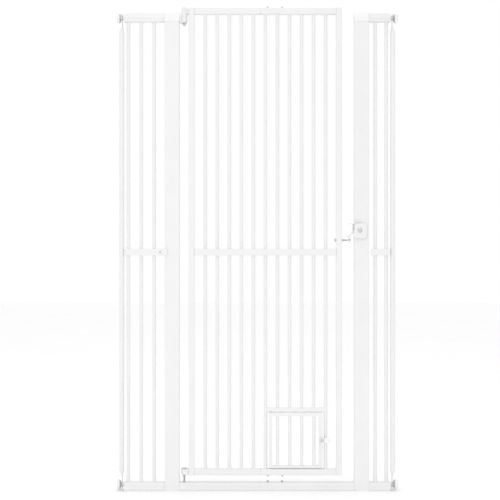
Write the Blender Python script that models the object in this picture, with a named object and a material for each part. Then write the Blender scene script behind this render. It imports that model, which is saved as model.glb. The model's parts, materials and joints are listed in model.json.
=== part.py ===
"""Extra-tall pressure-fit pet gate: a two-way walk-through door with a small cat door, between two wings.

Metres, +Z up, +X to the right and -Y to the front. The origin is on the floor under the threshold,
midway between the two walls. Every tube is hollow. Pieces that meet keep GAP between them.
"""

import math

import bmesh
import bpy
from mathutils import Matrix

GAP = 0.0003
CUT_MARGIN = 0.002
CIRCLE_SIDES = 24
SHARP_ANGLE = 35

# Frame
HALF_SPAN = 0.5227
FRAME_TOP = 1.781
RAIL_HEIGHT = 0.0315
RAIL_DEPTH = 0.028
RAIL_END_X = 0.4960
RAIL_STEP = 0.0015
RAIL_STEP_Z = 1.761
POST_WIDTH = 0.055
POST_DEPTH = 0.030
LEFT_POST_X = -0.3175
RIGHT_POST_X = 0.3892
CAP_HEIGHT = 0.018
CAP_OVERHANG = 0.002
CAP_PLUG_DEPTH = 0.012
CAP_SKIRT_BOTTOM = 1.7506
CAP_SKIRT_OVERHANG = 0.0012
TUBE_WALL = 0.0012
TUBE_CORNER = 0.003

# Bars
BAR_RADIUS = 0.0070
BAR_WALL = 0.001
BAR_SIDES = 16
DOOR_BARS = 11
DOOR_BAR_PITCH = 0.04496
FIRST_DOOR_BAR_X = -0.1940
LEFT_WING_BARS_X = (-0.4815, -0.4336, -0.3856)
RIGHT_WING_BARS_X = (0.4414, 0.4820)

# Flat mid rails, welded to the front of the bars
MID_RAIL_BOTTOM = 0.8770
MID_RAIL_HEIGHT = 0.0260
MID_RAIL_THICKNESS = 0.004
MID_RAIL_BACK_Y = -BAR_RADIUS - GAP
LEFT_MID_RAIL_X = (-0.4940, -0.3500)
LEFT_MID_RAIL_LAP_X = -0.3340
LAP_THICKNESS = 0.003
RIGHT_MID_RAIL_X = (0.4238, 0.4960)

# Door
HINGE_X = -0.2726
DOOR_LEFT = -0.2558
DOOR_RIGHT = 0.3158
DOOR_BOTTOM = 0.0577
DOOR_TOP = 1.8015
STILE_WIDTH = 0.0215
DOOR_RAIL_HEIGHT = 0.0234
DOOR_DEPTH = 0.022
SPLICE_X = 0.0123
SPLICE_NOTCH_HALF = 0.0022
SPLICE_NOTCH_HEIGHT = 0.004
DOOR_INSIDE = (DOOR_LEFT + STILE_WIDTH + GAP, DOOR_RIGHT - STILE_WIDTH - GAP)

# A nut or pin head that rounds off from its flat base: (share of its height, share of its radius)
DOME = ((0.0, 1.0), (0.3, 1.0), (0.65, 0.85), (1.0, 0.35))

# Door hinges: a barrel on a headed pin at the top, an ear on a headed pin at the bottom
HINGE_RADIUS = 0.011
PIN_NUT_RADIUS = 0.0065
PIN_CLEARANCE = 0.0003
TOP_PIN_RADIUS = 0.004
TOP_BRACKET_TOP = 1.7500
TOP_BRACKET_THICKNESS = 0.0035
TOP_BARREL_TOP = 1.7998
TOP_EAR_BOTTOM = 1.7780
TOP_EAR_THICKNESS = 0.011
TOP_EAR_START = 0.0088
TOP_HEAD_HEIGHT = 0.0055
TOP_NUT_HEIGHT = 0.011
BOTTOM_PIN_RADIUS = 0.0035
BOTTOM_EAR_Z = (0.0610, 0.0810)
BOTTOM_HEAD_HEIGHT = 0.0035
BOTTOM_NUT_HEIGHT = 0.007
BOTTOM_FOOT_HEIGHT = 0.003

# Cat door, in the lower right of the door
HEADER_Z = (0.2948, 0.3094)
BAR_BESIDE_CAT_DOOR = 5
CAT_DOOR_X = (0.0427, 0.2441)
CAT_DOOR_Z = (0.0840, 0.2916)
CAT_TUBE = 0.014
CAT_BOTTOM_HEIGHT = 0.0086
CAT_BARS_X = (0.0760, 0.1214, 0.1661, 0.2115)
CAT_AXIS = (CAT_DOOR_X[0] + CAT_TUBE / 2, 0.0)
CAT_PIN_RADIUS = 0.0025
CAT_PIN_REACH = 0.0095
CAT_OUTER_CORNER = 0.00325
LATCH_X = 0.2590
LATCH_Z = 0.1901
LATCH_KNOB_RADIUS = 0.012
LATCH_KNOB_Y = (-0.0240, -0.0125)
LATCH_NECK_RADIUS = 0.0045
LATCH_TONGUE_Y = (-0.0115, -0.0080)
LATCH_TONGUE = (
    (-0.0250, -0.0100),
    (-0.0140, -0.0100),
    (-0.0112, -0.0045),
    (0.0000, -0.0045),
    (0.0045, 0.0000),
    (0.0000, 0.0045),
    (-0.0250, 0.0010),
)

# Lock on the right post, around the pivot of its claw
LOCK_X = 0.3810
LOCK_Z = 0.9712
LOCK_COVER_X = (0.3605, 0.4062)
LOCK_COVER_Z = (0.9410, 0.9970)
LOCK_COVER_CORNER = 0.011
LOCK_COVER_FRONT_Y = -0.0270
LOCK_COVER_WALL = 0.0025
LOCK_MOUTH_DROP = 0.013
LOCK_MOUTH_SLANT = 0.002
LOCK_KNOB_RADIUS = 0.00875
LOCK_KNOB_THICKNESS = 0.005
LOCK_SHAFT_RADIUS = 0.004
CLAW_Y = (-0.0190, -0.0160)
CLAW_SHEET = 0.003
CLAW_HUB_RADIUS = 0.010
CLAW_TOP = 0.026
CLAW_ARM = (-0.028, -0.021)
CLAW_ARM_LEFT_BOTTOM = -0.004
CLAW_ARM_RIGHT_BOTTOM = -0.0075
CLAW_TIP = (-0.043, -0.033)
CLAW_TIP_LEFT_TOP = -0.020
CLAW_TIP_RIGHT_TOP = -0.0215
CLAW_TIP_BOTTOM = -0.0282
CLAW_BRIDGE_BOTTOM = -0.023
CLAW_PRONG_Y = 0.0075
CLAW_TAB_LEFT = -0.047
CLAW_TAB_FRONT_Y = -0.0235

# Strike pin through the door's lock stile
STRIKE_Z = 0.9350
STRIKE_ROD_RADIUS = 0.0034
STRIKE_NUT_RADIUS = 0.0062
STRIKE_NUT_LENGTH = 0.006
STRIKE_FLARE_RADIUS = 0.0065
STRIKE_FLARE_START_X = 0.3385
STRIKE_END_X = 0.3482
STRIKE_EDGE = 0.0012

# Pressure mounts, one at each end of each wing rail
SPINDLE_TOP_Z = 1.7642
SPINDLE_BOTTOM_Z = 0.0220
SPINDLE_RADIUS = 0.0048
SPINDLE_INNER_X = 0.4350
SPINDLE_BORE = 0.0052
FLANGE_X = (0.5103, 0.5131)
FLANGE_RADIUS = 0.0165
CUP_INNER_X = 0.5134
CUP_RADIUS = 0.019
CUP_EDGE = 0.0015
NUT_X = (0.5058, 0.5100)
NUT_ACROSS_FLATS = 0.016
PLUG_LENGTH = 0.012
COLLAR_OUTER_X = 0.5022
COLLAR_RADIUS = 0.0075

# Gap bars, hung on the spindles by their flattened ends: (z, centre X, half width along X, half depth along Y)
GAP_BAR_X = 0.5066
GAP_TAB_X = 0.5040
GAP_BAR_WALL = 0.001
GAP_BAR_RADIUS = 0.0093
GAP_TAB_HALF = 0.0015
GAP_TAB_DEPTH = 0.013
GAP_TAB_TIP_DEPTH = 0.008
GAP_BAR_SECTIONS = (
    (0.0070, GAP_TAB_X, GAP_TAB_HALF, GAP_TAB_TIP_DEPTH),
    (0.0110, GAP_TAB_X, GAP_TAB_HALF, GAP_TAB_DEPTH),
    (0.0540, GAP_TAB_X, GAP_TAB_HALF, GAP_TAB_DEPTH),
    (0.0740, GAP_BAR_X, GAP_BAR_RADIUS, GAP_BAR_RADIUS),
    (1.7140, GAP_BAR_X, GAP_BAR_RADIUS, GAP_BAR_RADIUS),
    (1.7320, GAP_TAB_X, GAP_TAB_HALF, GAP_TAB_DEPTH),
    (1.7740, GAP_TAB_X, GAP_TAB_HALF, GAP_TAB_DEPTH),
    (1.7780, GAP_TAB_X, GAP_TAB_HALF, GAP_TAB_TIP_DEPTH),
)

POWDER_WHITE = ((0.89, 0.89, 0.88), 0.38, 0.0)
WHITE_PLASTIC = ((0.92, 0.92, 0.91), 0.42, 0.0)
ZINC = ((0.52, 0.53, 0.54), 0.34, 1.0)


# Shapes

def placed(axis, u, v, w):
    """The point at u, v across the axis and w along it; u, v are y, z on X, x, z on Y and x, y on Z."""
    return {"X": (w, u, v), "Y": (u, w, v), "Z": (u, v, w)}[axis]


def circle(radius, centre=(0.0, 0.0), sides=CIRCLE_SIDES):
    return arc(radius, centre, 0.0, 360.0, sides)[:-1]


def arc(radius, centre, start, end, steps):
    """Points on a circle from angle start to angle end, in degrees, both included."""
    angles = [math.radians(start + (end - start) * step / steps) for step in range(steps + 1)]
    return [(centre[0] + radius * math.cos(a), centre[1] + radius * math.sin(a)) for a in angles]


def domed(base, height, radius):
    """Profile points from a nut's or head's flat base to its rounded top; a negative height goes down."""
    return [(base + height * along, radius * share) for along, share in DOME]


def shifted(outline, offset):
    return [(u + offset[0], v + offset[1]) for u, v in outline]


def rounded_box(low, high, corner, steps=3):
    """The outline of a rectangle with round corners, counter-clockwise from its right side."""
    centres = (
        (high[0] - corner, high[1] - corner),
        (low[0] + corner, high[1] - corner),
        (low[0] + corner, low[1] + corner),
        (high[0] - corner, low[1] + corner),
    )
    points = []
    for quarter, centre in enumerate(centres):
        points += arc(corner, centre, 90 * quarter, 90 * (quarter + 1), steps)
    return points


def stepped_box(low, high, corner, step_height, step):
    """rounded_box, narrower by step on both sides below step_height."""
    narrow_low = (low[0] + step, low[1])
    narrow_high = (high[0] - step, high[1])
    wide = rounded_box(low, high, corner)
    narrow = rounded_box(narrow_low, narrow_high, corner)
    half = len(wide) // 2
    left_step = [(low[0], step_height), (narrow_low[0], step_height)]
    right_step = [(narrow_high[0], step_height), (high[0], step_height)]
    return wide[:half] + left_step + narrow[half:] + right_step


def finished(name, finish):
    colour, roughness, metallic = finish
    made = bpy.data.materials.new(name + "_finish")
    made.use_nodes = True
    shader = made.node_tree.nodes["Principled BSDF"]
    shader.inputs["Base Color"].default_value = (*colour, 1.0)
    shader.inputs["Roughness"].default_value = roughness
    shader.inputs["Metallic"].default_value = metallic
    return made


def loft(name, rings, finish, looped=False):
    """One closed body through rings of equal length, capped at both ends or looped from last to first."""
    shape = bmesh.new()
    rows = [[shape.verts.new(point) for point in ring] for ring in rings]
    pairs = list(zip(rows, rows[1:]))
    if looped:
        pairs.append((rows[-1], rows[0]))
    else:
        shape.faces.new(rows[0])
        shape.faces.new(rows[-1])
    for low, high in pairs:
        for i, corner in enumerate(low):
            j = (i + 1) % len(low)
            shape.faces.new((corner, low[j], high[j], high[i]))
    bmesh.ops.recalc_face_normals(shape, faces=shape.faces)
    mesh = bpy.data.meshes.new(name)
    shape.to_mesh(mesh)
    shape.free()
    mesh.shade_smooth()
    mesh.set_sharp_from_angle(angle=math.radians(SHARP_ANGLE))
    mesh.materials.append(finished(name, finish))
    piece = bpy.data.objects.new(name, mesh)
    bpy.context.scene.collection.objects.link(piece)
    return piece


def prism(name, axis, outline, low, high, finish):
    return loft(name, [[placed(axis, u, v, w) for u, v in outline] for w in (low, high)], finish)


def tube(name, axis, outer, inner, low, high, finish):
    """A prism with a bore of outline inner right through it."""
    ends = ((outer, low), (outer, high), (inner, high), (inner, low))
    rings = [[placed(axis, u, v, w) for u, v in outline] for outline, w in ends]
    return loft(name, rings, finish, looped=True)


def box_tube(name, axis, low, high, start, end, finish):
    """A rectangular tube between the corners low and high across the axis, from start to end along it."""
    inside_low = (low[0] + TUBE_WALL, low[1] + TUBE_WALL)
    inside_high = (high[0] - TUBE_WALL, high[1] - TUBE_WALL)
    outer = rounded_box(low, high, TUBE_CORNER)
    inner = rounded_box(inside_low, inside_high, TUBE_CORNER - TUBE_WALL)
    return tube(name, axis, outer, inner, start, end, finish)


def turned(name, axis, centre, profile, finish):
    """A turned body: profile is (distance along the axis, radius), from one end to the other."""
    rings = []
    for w, radius in profile:
        rings.append([placed(axis, u, v, w) for u, v in circle(radius, centre)])
    return loft(name, rings, finish)


def combine(piece, tool, operation):
    """Cuts tool from piece, or joins it on, by a Boolean modifier that keeps tool as a hidden helper."""
    tool.hide_render = True
    tool.display_type = "WIRE"
    modifier = piece.modifiers.new(tool.name, "BOOLEAN")
    modifier.operation = operation
    modifier.object = tool
    return piece


def cut(piece, tool):
    return combine(piece, tool, "DIFFERENCE")


def join(piece, tool):
    return combine(piece, tool, "UNION")


def drill(piece, axis, centre, radius, start, end):
    """A round hole from start to end along axis, cut a little past both."""
    name = f"{piece.name}_hole_{len(piece.modifiers)}"
    low, high = sorted((start, end))
    outline = circle(radius, centre)
    return cut(piece, prism(name, axis, outline, low - CUT_MARGIN, high + CUT_MARGIN, ZINC))


# Frame

def post(side, centre_x):
    low = (centre_x - POST_WIDTH / 2, -POST_DEPTH / 2)
    high = (centre_x + POST_WIDTH / 2, POST_DEPTH / 2)
    cap_bottom = FRAME_TOP - CAP_HEIGHT
    box_tube(f"{side}_post", "Z", low, high, 0.0, cap_bottom - GAP, POWDER_WHITE)
    post_cap(side, low, high, cap_bottom)


def post_cap(side, low, high, bottom):
    """A cap with a plug that sits in the post. It stands out at the front, the back and towards the door."""
    overhang_left = CAP_OVERHANG if side == "right" else 0.0
    overhang_right = CAP_OVERHANG - overhang_left
    cap_low = (low[0] - overhang_left, low[1] - CAP_OVERHANG)
    cap_high = (high[0] + overhang_right, high[1] + CAP_OVERHANG)
    outline = rounded_box(cap_low, cap_high, TUBE_CORNER)
    cap = prism(f"{side}_post_cap", "Z", outline, bottom, FRAME_TOP, WHITE_PLASTIC)
    inset = TUBE_WALL + GAP
    plug_low = (low[0] + inset, low[1] + inset)
    plug_high = (high[0] - inset, high[1] - inset)
    plug_outline = rounded_box(plug_low, plug_high, TUBE_CORNER - TUBE_WALL)
    plug_top = bottom + CAP_HEIGHT / 2
    plug_bottom = bottom - CAP_PLUG_DEPTH
    join(cap, prism(f"{side}_cap_plug", "Z", plug_outline, plug_bottom, plug_top, WHITE_PLASTIC))
    wing_face, towards_door = (low[0], 1) if side == "left" else (high[0], -1)
    skirt = [(wing_face + towards_door * u, v) for u, v in cap_skirt_outline()]
    join(cap, prism(f"{side}_cap_skirt", "Z", skirt, CAP_SKIRT_BOTTOM, bottom + GAP, WHITE_PLASTIC))


def cap_skirt_outline():
    """A thin band round the front, the door side and the back of a post; u runs from the wing to the door."""
    half = POST_DEPTH / 2
    front = (POST_WIDTH - TUBE_CORNER, TUBE_CORNER - half)
    back = (POST_WIDTH - TUBE_CORNER, half - TUBE_CORNER)
    outer = TUBE_CORNER + CAP_SKIRT_OVERHANG
    inner = TUBE_CORNER + GAP
    return [
        (0.0, -half - CAP_SKIRT_OVERHANG),
        *arc(outer, front, -90, 0, 3),
        *arc(outer, back, 0, 90, 3),
        (0.0, half + CAP_SKIRT_OVERHANG),
        (0.0, half + GAP),
        *arc(inner, back, 90, 0, 3),
        *arc(inner, front, 0, -90, 3),
        (0.0, -half - GAP),
    ]


def bottom_rail_section(inset):
    low = (-RAIL_DEPTH / 2 + inset, inset)
    high = (RAIL_DEPTH / 2 - inset, RAIL_HEIGHT - inset)
    return rounded_box(low, high, TUBE_CORNER - inset)


def top_rail_section(inset):
    low = (-RAIL_DEPTH / 2 + inset, FRAME_TOP - RAIL_HEIGHT + inset)
    high = (RAIL_DEPTH / 2 - inset, FRAME_TOP - inset)
    return stepped_box(low, high, TUBE_CORNER - inset, RAIL_STEP_Z + inset, RAIL_STEP)


def wing_rail(name, sign, post_face, section, spindle_z):
    """A wing rail from its post to its spindle end, where a plug with a collar guides the spindle."""
    inner_end = post_face + sign * GAP
    outer_end = sign * RAIL_END_X
    rail = prism(name, "X", section(0.0), inner_end, outer_end, POWDER_WHITE)
    hollow = section(TUBE_WALL)
    hollow_end = outer_end - sign * PLUG_LENGTH
    cut(rail, prism(f"{name}_hollow", "X", hollow, inner_end - sign * CUT_MARGIN, hollow_end, ZINC))
    axis = (0.0, spindle_z)
    collar_start = outer_end - sign * TUBE_WALL
    collar_end = sign * COLLAR_OUTER_X
    collar = circle(COLLAR_RADIUS, axis)
    join(rail, prism(f"{name}_collar", "X", collar, collar_start, collar_end, ZINC))
    drill(rail, "X", axis, SPINDLE_BORE, hollow_end, collar_end)


def bar(name, x, bottom, top):
    outer = circle(BAR_RADIUS, (x, 0.0), BAR_SIDES)
    inner = circle(BAR_RADIUS - BAR_WALL, (x, 0.0), BAR_SIDES)
    return tube(name, "Z", outer, inner, bottom + GAP, top - GAP, POWDER_WHITE)


def mid_rail(name, x_range):
    outline = (
        (x_range[0], MID_RAIL_BACK_Y - MID_RAIL_THICKNESS),
        (x_range[1], MID_RAIL_BACK_Y - MID_RAIL_THICKNESS),
        (x_range[1], MID_RAIL_BACK_Y),
        (x_range[0], MID_RAIL_BACK_Y),
    )
    return prism(name, "Z", outline, MID_RAIL_BOTTOM, MID_RAIL_BOTTOM + MID_RAIL_HEIGHT, POWDER_WHITE)


def lapped_mid_rail(name):
    """The left wing's mid rail, whose end steps forward and laps over the front of the post."""
    left, right = LEFT_MID_RAIL_X
    front = MID_RAIL_BACK_Y - MID_RAIL_THICKNESS
    lap_back = -POST_DEPTH / 2 - GAP
    lap_front = lap_back - LAP_THICKNESS
    outline = (
        (left, MID_RAIL_BACK_Y),
        (left, front),
        (right - MID_RAIL_THICKNESS, front),
        (right - MID_RAIL_THICKNESS, lap_front),
        (LEFT_MID_RAIL_LAP_X, lap_front),
        (LEFT_MID_RAIL_LAP_X, lap_back),
        (right, lap_back),
        (right, MID_RAIL_BACK_Y),
    )
    return prism(name, "Z", outline, MID_RAIL_BOTTOM, MID_RAIL_BOTTOM + MID_RAIL_HEIGHT, POWDER_WHITE)


def wing(side, sign, post_face, bars_x):
    wing_rail(f"{side}_wing_top_rail", sign, post_face, top_rail_section, SPINDLE_TOP_Z)
    wing_rail(f"{side}_wing_bottom_rail", sign, post_face, bottom_rail_section, SPINDLE_BOTTOM_Z)
    for number, x in enumerate(bars_x, 1):
        bar(f"{side}_wing_bar_{number}", x, RAIL_HEIGHT, FRAME_TOP - RAIL_HEIGHT)


def threshold():
    left = LEFT_POST_X + POST_WIDTH / 2 + GAP
    right = RIGHT_POST_X - POST_WIDTH / 2 - GAP
    low = (-RAIL_DEPTH / 2, 0.0)
    high = (RAIL_DEPTH / 2, RAIL_HEIGHT)
    box_tube("threshold_left", "X", low, high, left, SPLICE_X - GAP / 2, POWDER_WHITE)
    box_tube("threshold_right", "X", low, high, SPLICE_X + GAP / 2, right, POWDER_WHITE)


def gap_bar(side, sign):
    """A round tube pressed flat at both ends, where a hole takes the spindle."""
    outer = []
    inner = []
    for z, centre, half_width, half_depth in GAP_BAR_SECTIONS:
        for rings, inset in ((outer, 0.0), (inner, GAP_BAR_WALL)):
            ring = []
            for u, v in circle(1.0, sides=BAR_SIDES):
                ring.append((sign * centre + u * (half_width - inset), v * (half_depth - inset), z))
            rings.append(ring)
    made = loft(f"{side}_gap_bar", outer + inner[::-1], POWDER_WHITE, looped=True)
    for z in (SPINDLE_BOTTOM_Z, SPINDLE_TOP_Z):
        centre = sign * GAP_TAB_X
        drill(made, "X", (0.0, z), SPINDLE_BORE, centre - GAP_TAB_HALF, centre + GAP_TAB_HALF)


def pressure_mount(place, sign, z):
    """Threaded spindle with its flange, the nut that drives it out of the rail, and the cup on the wall."""
    centre = (0.0, z)
    spindle_profile = (
        (sign * SPINDLE_INNER_X, SPINDLE_RADIUS),
        (sign * FLANGE_X[0], SPINDLE_RADIUS),
        (sign * FLANGE_X[0], FLANGE_RADIUS - CUP_EDGE),
        (sign * FLANGE_X[1], FLANGE_RADIUS),
    )
    turned(f"{place}_spindle", "X", centre, spindle_profile, ZINC)
    hexagon = circle(NUT_ACROSS_FLATS / math.sqrt(3), centre, sides=6)
    nut = prism(f"{place}_hand_nut", "X", hexagon, sign * NUT_X[0], sign * NUT_X[1], ZINC)
    drill(nut, "X", centre, SPINDLE_BORE, sign * NUT_X[0], sign * NUT_X[1])
    cup_profile = (
        (sign * CUP_INNER_X, CUP_RADIUS - CUP_EDGE),
        (sign * (CUP_INNER_X + CUP_EDGE), CUP_RADIUS),
        (sign * (HALF_SPAN - CUP_EDGE), CUP_RADIUS),
        (sign * HALF_SPAN, CUP_RADIUS - CUP_EDGE / 2),
    )
    turned(f"{place}_wall_cup", "X", centre, cup_profile, WHITE_PLASTIC)


def frame():
    left_face = LEFT_POST_X - POST_WIDTH / 2
    right_face = RIGHT_POST_X + POST_WIDTH / 2
    post("left", LEFT_POST_X)
    post("right", RIGHT_POST_X)
    wing("left", -1, left_face, LEFT_WING_BARS_X)
    wing("right", 1, right_face, RIGHT_WING_BARS_X)
    lapped_mid_rail("left_wing_mid_rail")
    mid_rail("right_wing_mid_rail", RIGHT_MID_RAIL_X)
    threshold()
    for side, sign in (("left", -1), ("right", 1)):
        gap_bar(side, sign)
        pressure_mount(f"top_{side}", sign, SPINDLE_TOP_Z)
        pressure_mount(f"bottom_{side}", sign, SPINDLE_BOTTOM_Z)


# Door

def door_stile(name, left):
    low = (left, -DOOR_DEPTH / 2)
    high = (left + STILE_WIDTH, DOOR_DEPTH / 2)
    return box_tube(name, "Z", low, high, DOOR_BOTTOM, DOOR_TOP, POWDER_WHITE)


def door_rail(place, bottom, notch_edge, inwards):
    """A rail in two lengths, spliced at SPLICE_X with a notch in notch_edge. Gives back the right one."""
    low = (-DOOR_DEPTH / 2, bottom)
    high = (DOOR_DEPTH / 2, bottom + DOOR_RAIL_HEIGHT)
    splice_ends = (SPLICE_X - GAP / 2, SPLICE_X + GAP / 2)
    left = box_tube(f"door_{place}_rail_left", "X", low, high, DOOR_INSIDE[0], splice_ends[0], POWDER_WHITE)
    right = box_tube(f"door_{place}_rail_right", "X", low, high, splice_ends[1], DOOR_INSIDE[1], POWDER_WHITE)
    edges = (notch_edge - inwards * CUT_MARGIN, notch_edge + inwards * SPLICE_NOTCH_HEIGHT)
    notch_low = (SPLICE_X - SPLICE_NOTCH_HALF, min(edges))
    notch_high = (SPLICE_X + SPLICE_NOTCH_HALF, max(edges))
    notch = rounded_box(notch_low, notch_high, GAP, 1)
    for half in (left, right):
        cut(half, prism(f"{half.name}_notch", "Y", notch, -DOOR_DEPTH, DOOR_DEPTH, ZINC))
    return right


def door_frame():
    door_stile("door_hinge_stile", DOOR_LEFT)
    lock_stile_left = DOOR_RIGHT - STILE_WIDTH
    lock_stile = door_stile("door_lock_stile", lock_stile_left)
    strike_bore = STRIKE_ROD_RADIUS + PIN_CLEARANCE
    drill(lock_stile, "X", (0.0, STRIKE_Z), strike_bore, lock_stile_left, DOOR_RIGHT)
    top_rail_bottom = DOOR_TOP - DOOR_RAIL_HEIGHT
    door_rail("top", top_rail_bottom, top_rail_bottom, 1)
    rail_middle = DOOR_BOTTOM + DOOR_RAIL_HEIGHT / 2
    rail_top = DOOR_BOTTOM + DOOR_RAIL_HEIGHT
    bottom_rail = door_rail("bottom", DOOR_BOTTOM, rail_top, -1)
    drill(bottom_rail, "Z", CAT_AXIS, CAT_PIN_RADIUS + PIN_CLEARANCE, rail_middle, rail_top)
    mid_rail("door_mid_rail", DOOR_INSIDE)


def door_bar_x(index):
    return FIRST_DOOR_BAR_X + DOOR_BAR_PITCH * index


def door_bars():
    rail_top = DOOR_BOTTOM + DOOR_RAIL_HEIGHT
    for index in range(DOOR_BARS):
        over_cat_door = BAR_BESIDE_CAT_DOOR < index < DOOR_BARS - 1
        bottom = HEADER_Z[1] if over_cat_door else rail_top
        bar(f"door_bar_{index + 1}", door_bar_x(index), bottom, DOOR_TOP - DOOR_RAIL_HEIGHT)


def cat_door_header():
    half = (HEADER_Z[1] - HEADER_Z[0]) / 2
    start = door_bar_x(BAR_BESIDE_CAT_DOOR) + BAR_RADIUS + GAP
    end = door_bar_x(DOOR_BARS - 1) - BAR_RADIUS - GAP
    low = (-half, HEADER_Z[0])
    high = (half, HEADER_Z[1])
    header = box_tube("cat_door_header", "X", low, high, start, end, POWDER_WHITE)
    drill(header, "Z", CAT_AXIS, CAT_PIN_RADIUS + PIN_CLEARANCE, HEADER_Z[0], HEADER_Z[0] + half)


def top_hinge():
    """A bracket on the post holds a headed pin, which the door's barrel turns on."""
    axis = (HINGE_X, 0.0)
    post_side = LEFT_POST_X + POST_WIDTH / 2 + GAP
    bracket_bottom = TOP_BRACKET_TOP - TOP_BRACKET_THICKNESS
    outline = [(post_side, HINGE_RADIUS), (post_side, -HINGE_RADIUS)]
    outline += arc(HINGE_RADIUS, axis, -90, 90, CIRCLE_SIDES // 2)
    bracket = prism("top_hinge_bracket", "Z", outline, bracket_bottom, TOP_BRACKET_TOP, POWDER_WHITE)
    nut_top = bracket_bottom + GAP
    head_bottom = TOP_BARREL_TOP + GAP
    pin_profile = (
        *reversed(domed(nut_top, -TOP_NUT_HEIGHT, PIN_NUT_RADIUS)),
        (nut_top, TOP_PIN_RADIUS),
        (head_bottom, TOP_PIN_RADIUS),
        *domed(head_bottom, TOP_HEAD_HEIGHT, PIN_NUT_RADIUS),
    )
    join(bracket, turned("top_hinge_pin", "Z", axis, pin_profile, ZINC))
    outer = circle(HINGE_RADIUS, axis)
    bore = circle(TOP_PIN_RADIUS + PIN_CLEARANCE, axis)
    barrel_bottom = TOP_BRACKET_TOP + GAP
    barrel = tube("top_hinge_barrel", "Z", outer, bore, barrel_bottom, TOP_BARREL_TOP, POWDER_WHITE)
    ear_low = (HINGE_X + TOP_EAR_START, -TOP_EAR_THICKNESS / 2)
    ear_high = (DOOR_LEFT - GAP, TOP_EAR_THICKNESS / 2)
    ear = rounded_box(ear_low, ear_high, GAP)
    join(barrel, prism("top_hinge_ear", "Z", ear, TOP_EAR_BOTTOM, TOP_BARREL_TOP - GAP, POWDER_WHITE))


def bottom_hinge():
    """An ear on the door turns on a pin that stands on the threshold, between a nut and a broad head."""
    axis = (HINGE_X, 0.0)
    door_side = DOOR_LEFT - GAP
    outline = arc(HINGE_RADIUS, axis, 90, 270, CIRCLE_SIDES // 2)
    outline += [(door_side, -HINGE_RADIUS), (door_side, HINGE_RADIUS)]
    ear = prism("bottom_hinge_ear", "Z", outline, *BOTTOM_EAR_Z, POWDER_WHITE)
    drill(ear, "Z", axis, BOTTOM_PIN_RADIUS + PIN_CLEARANCE, *BOTTOM_EAR_Z)
    foot_bottom = RAIL_HEIGHT + GAP
    foot_top = RAIL_HEIGHT + BOTTOM_FOOT_HEIGHT
    nut_top = BOTTOM_EAR_Z[0] - GAP
    nut_bottom = nut_top - BOTTOM_NUT_HEIGHT
    head_bottom = BOTTOM_EAR_Z[1] + GAP
    pin_profile = (
        (foot_bottom, PIN_NUT_RADIUS),
        (foot_top, PIN_NUT_RADIUS),
        (foot_top, BOTTOM_PIN_RADIUS),
        (nut_bottom, BOTTOM_PIN_RADIUS),
        (nut_bottom, PIN_NUT_RADIUS),
        (nut_top, PIN_NUT_RADIUS),
        (nut_top, BOTTOM_PIN_RADIUS),
        (head_bottom, BOTTOM_PIN_RADIUS),
        *domed(head_bottom, BOTTOM_HEAD_HEIGHT, HINGE_RADIUS),
    )
    turned("bottom_hinge_pin", "Z", axis, pin_profile, ZINC)


def strike_pin():
    """A rod through the lock stile, held by a domed nut inside and a plain one outside, with a flared end."""
    stile_left = DOOR_RIGHT - STILE_WIDTH - GAP
    stile_right = DOOR_RIGHT + GAP
    nut_end = stile_right + STRIKE_NUT_LENGTH
    profile = (
        *reversed(domed(stile_left, -STRIKE_NUT_LENGTH, STRIKE_NUT_RADIUS)),
        (stile_left, STRIKE_ROD_RADIUS),
        (stile_right, STRIKE_ROD_RADIUS),
        (stile_right, STRIKE_NUT_RADIUS),
        (nut_end, STRIKE_NUT_RADIUS),
        (nut_end, STRIKE_ROD_RADIUS),
        (STRIKE_FLARE_START_X, STRIKE_ROD_RADIUS),
        (STRIKE_END_X - STRIKE_EDGE, STRIKE_FLARE_RADIUS),
        (STRIKE_END_X, STRIKE_FLARE_RADIUS - STRIKE_EDGE / 2),
    )
    turned("strike_pin", "X", (0.0, STRIKE_Z), profile, ZINC)


def door():
    door_frame()
    door_bars()
    cat_door_header()
    top_hinge()
    bottom_hinge()
    strike_pin()


# Cat door

def cat_door():
    """A welded grille: one loop of tube with four bars, and a pivot pin at both ends of its left side."""
    half = CAT_TUBE / 2
    low = (CAT_DOOR_X[0], CAT_DOOR_Z[0])
    high = (CAT_DOOR_X[1], CAT_DOOR_Z[1])
    opening_low = (low[0] + CAT_TUBE, low[1] + CAT_BOTTOM_HEIGHT)
    opening_high = (high[0] - CAT_TUBE, high[1] - CAT_TUBE)
    outer = rounded_box(low, high, CAT_OUTER_CORNER)
    inner = rounded_box(opening_low, opening_high, GAP)
    grille = tube("cat_door_grille", "Y", outer, inner, -half, half, POWDER_WHITE)
    ends = (low[1] + half, high[1] - half)
    for number, x in enumerate(CAT_BARS_X, 1):
        outline = circle(BAR_RADIUS - GAP, (x, 0.0), BAR_SIDES)
        join(grille, prism(f"cat_door_bar_{number}", "Z", outline, *ends, POWDER_WHITE))
    pin = circle(CAT_PIN_RADIUS, CAT_AXIS)
    join(grille, prism("cat_door_bottom_pin", "Z", pin, low[1] - CAT_PIN_REACH, low[1] + GAP, ZINC))
    join(grille, prism("cat_door_top_pin", "Z", pin, high[1] - GAP, high[1] + CAT_PIN_REACH, ZINC))


def cat_door_latch():
    """A turn knob in front of the bar beside the cat door, with a tongue over the cat door's free side."""
    axis = (LATCH_X, LATCH_Z)
    latch = prism("cat_door_latch", "Y", shifted(LATCH_TONGUE, axis), *LATCH_TONGUE_Y, ZINC)
    front, back = LATCH_KNOB_Y
    knob_profile = (
        *reversed(domed(back, front - back, LATCH_KNOB_RADIUS)),
        (back, LATCH_NECK_RADIUS),
        (-BAR_RADIUS - GAP, LATCH_NECK_RADIUS),
    )
    join(latch, turned("cat_door_latch_knob", "Y", axis, knob_profile, WHITE_PLASTIC))


# Lock

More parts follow.
